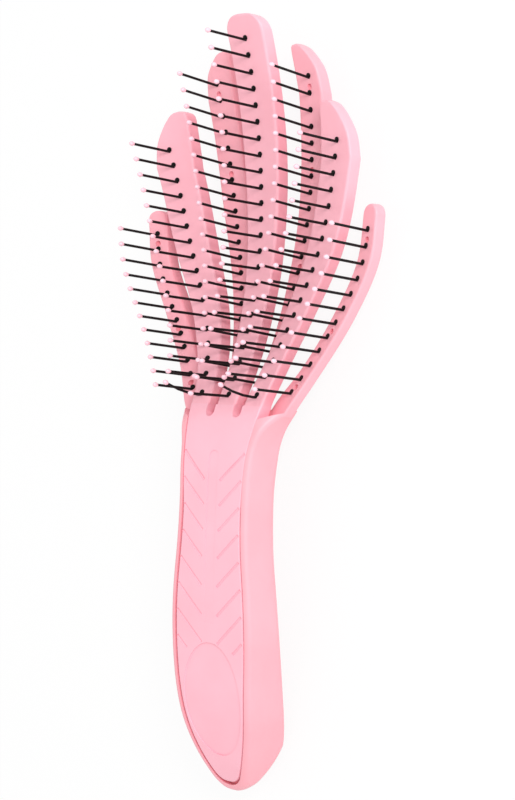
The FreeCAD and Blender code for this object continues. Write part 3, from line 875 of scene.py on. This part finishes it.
def back_rounding(y):
    """Share of the back's rounding: it tightens towards the neck."""
    return 1.0 - (1.0 - NECK_BACK_SHARE) * ease(y, 2.0 * SHOULDER_Y, SHOULDER_END_Y)


shell_sides = both_sides(handle_side(0.0, ALL_ARCS))
shell = piece(
    "rear_shell_body",
    loft(shell_sides, shell_front, lambda x, y: back_z(y), RIM_EDGE_R, BACK_ROUND_R,
         start_r=BUTT_ROUND_R, front_cuts=SHOULDER_CUTS, back_share=back_rounding),
    SHELL_PINK)
print("shell starts with", len(shell.data.polygons), "faces")

# %% Pocket and ridges
POCKET_OVERRUN, PANEL_FLOAT = 4.0, 0.05
RIDGE_INNER, RIDGE_OUTER, RIDGE_FAR_Y, ROOT_SINK = (12.5, -5.9), (21.5, -2.7), 5.0, 0.3


def root_bed(x, y):
    """Floor of the cut over an outer root, just under the finger's face."""
    return layer_z(1, FINGER_PLANS["rear_outer"]["dish_x"], abs(x), y, ROOT_SINK)


pocket = panel_rungs(PANEL_GAP)
pocket.append([end + Vector((0.0, POCKET_OVERRUN)) for end in pocket[-1]])
cut_away(shell, loft(pocket, above_face(CUT_CLEAR), panel_back(PANEL_FLOAT), CUT_EDGE_R, CUT_EDGE_R))
wedge = [[Vector(end), Vector((end[0], RIDGE_FAR_Y))] for end in (RIDGE_INNER, RIDGE_OUTER)]
for rungs in (wedge, mirrored(wedge)):
    cut_away(shell, loft(rungs, above_face(CUT_CLEAR), root_bed, CUT_EDGE_R, CUT_EDGE_R))
even_shading(shell)
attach(shell, "handle")
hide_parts("rear_shell")
print("shell has", len(shell.data.polygons), "faces")

# %% [markdown]
# ## Camera
# The photograph looks at the brush from its right, halfway between the front and the side, with a long
# lens. The camera is set by its own three directions, because the brush lies on its back here while the
# picture shows it upright.

# %% Camera
VIEW_DEG, RISE_DEG, ROLL_DEG = 42.5653, 0.6391, 2.2957
CAMERA_DISTANCE, CAMERA_AIM = 627.2, Vector((0.0, 1.6, 8.70))
FOCAL_PIXELS, IMAGE_HEIGHT, SENSOR = 2099.2, 800.0, 36.0
NEAREST_SEEN = 0.01

view, rise, roll = (math.radians(angle) for angle in (VIEW_DEG, RISE_DEG, ROLL_DEG))
towards = Vector((math.sin(view) * math.cos(rise), math.sin(rise), math.cos(view) * math.cos(rise)))
right = Vector((0.0, 1.0, 0.0)).cross(towards).normalized()
up = towards.cross(right)
right, up = (math.cos(roll) * right + math.sin(roll) * up,
             math.cos(roll) * up - math.sin(roll) * right)
camera = bpy.data.objects.new("camera", bpy.data.cameras.new("camera"))
bpy.context.scene.collection.objects.link(camera)
camera.matrix_world = (Matrix.Translation((CAMERA_AIM + CAMERA_DISTANCE * towards) * MM)
                       @ Matrix((right, up, towards)).transposed().to_4x4())
camera.data.sensor_fit = "VERTICAL"
camera.data.sensor_height = SENSOR
camera.data.lens = FOCAL_PIXELS * SENSOR / IMAGE_HEIGHT
camera.data.clip_start = NEAREST_SEEN
bpy.context.scene.camera = camera
print("camera lens", round(camera.data.lens, 2), "mm")

# %% [markdown]
# ## Floor and studio light
# The picture's ground is plain white. The floor glows white for the camera and in reflections, and keeps
# only part of its real shading, so the brush still drops a faint shadow. More light on a grey floor would
# wash the brush out too. One soft key light from the upper right gives the pins their long soft shadows,
# and the pale world fills the rest.

# %% Floor
FLOOR_HALF, FLOOR_GREY, FLOOR_GLOW = 2.0, 0.9, 0.9


def white_floor():
    """Matt floor that mostly glows white where the camera or a reflection sees it."""
    material = bpy.data.materials.new("white_floor")
    material.use_nodes = True
    nodes, links = material.node_tree.nodes, material.node_tree.links
    nodes.remove(nodes["Principled BSDF"])
    matt, glow = nodes.new("ShaderNodeBsdfDiffuse"), nodes.new("ShaderNodeEmission")
    matt.inputs["Color"].default_value = (FLOOR_GREY, FLOOR_GREY, FLOOR_GREY, 1.0)
    glow.inputs["Strength"].default_value = 1.0
    ray, share = nodes.new("ShaderNodeLightPath"), nodes.new("ShaderNodeMath")
    seen = nodes.new("ShaderNodeMath")
    seen.operation = "MAXIMUM"
    links.new(ray.outputs["Is Camera Ray"], seen.inputs[0])
    links.new(ray.outputs["Is Glossy Ray"], seen.inputs[1])
    share.operation = "MULTIPLY"
    share.inputs[1].default_value = FLOOR_GLOW
    links.new(seen.outputs[0], share.inputs[0])
    mix = nodes.new("ShaderNodeMixShader")
    links.new(share.outputs[0], mix.inputs["Fac"])
    links.new(matt.outputs[0], mix.inputs[1])
    links.new(glow.outputs[0], mix.inputs[2])
    links.new(mix.outputs[0], nodes["Material Output"].inputs["Surface"])
    return material


bm = bmesh.new()
bmesh.ops.create_grid(bm, x_segments=1, y_segments=1, size=FLOOR_HALF)
floor = piece("floor", bm, white_floor())
print("floor is", 2.0 * FLOOR_HALF, "m wide")

# %% Light
KEY_PLACE, KEY_SIZE, KEY_POWER = Vector((0.48, 0.2, 0.4)), 0.25, 2.2
WORLD_LIGHT = 0.88

world = bpy.data.worlds.new("studio")
bpy.context.scene.world = world
world.use_nodes = True
nodes, links = world.node_tree.nodes, world.node_tree.links
sky = nodes["Background"]
sky.inputs["Color"].default_value = (1.0, 1.0, 1.0, 1.0)
ray, seen = nodes.new("ShaderNodeLightPath"), nodes.new("ShaderNodeMapRange")
seen.inputs["To Min"].default_value, seen.inputs["To Max"].default_value = WORLD_LIGHT, 1.0
links.new(ray.outputs["Is Camera Ray"], seen.inputs["Value"])
links.new(seen.outputs["Result"], sky.inputs["Strength"])

key = bpy.data.objects.new("key_light", bpy.data.lights.new("key_light", "AREA"))
bpy.context.scene.collection.objects.link(key)
key.data.shape, key.data.size, key.data.energy = "DISK", KEY_SIZE, KEY_POWER
key.location = KEY_PLACE
key.rotation_euler = KEY_PLACE.to_track_quat("Z", "Y").to_euler()
bpy.context.scene.view_settings.view_transform = "Standard"
print("key light of", KEY_POWER, "W at", round(KEY_PLACE.length, 2), "m")
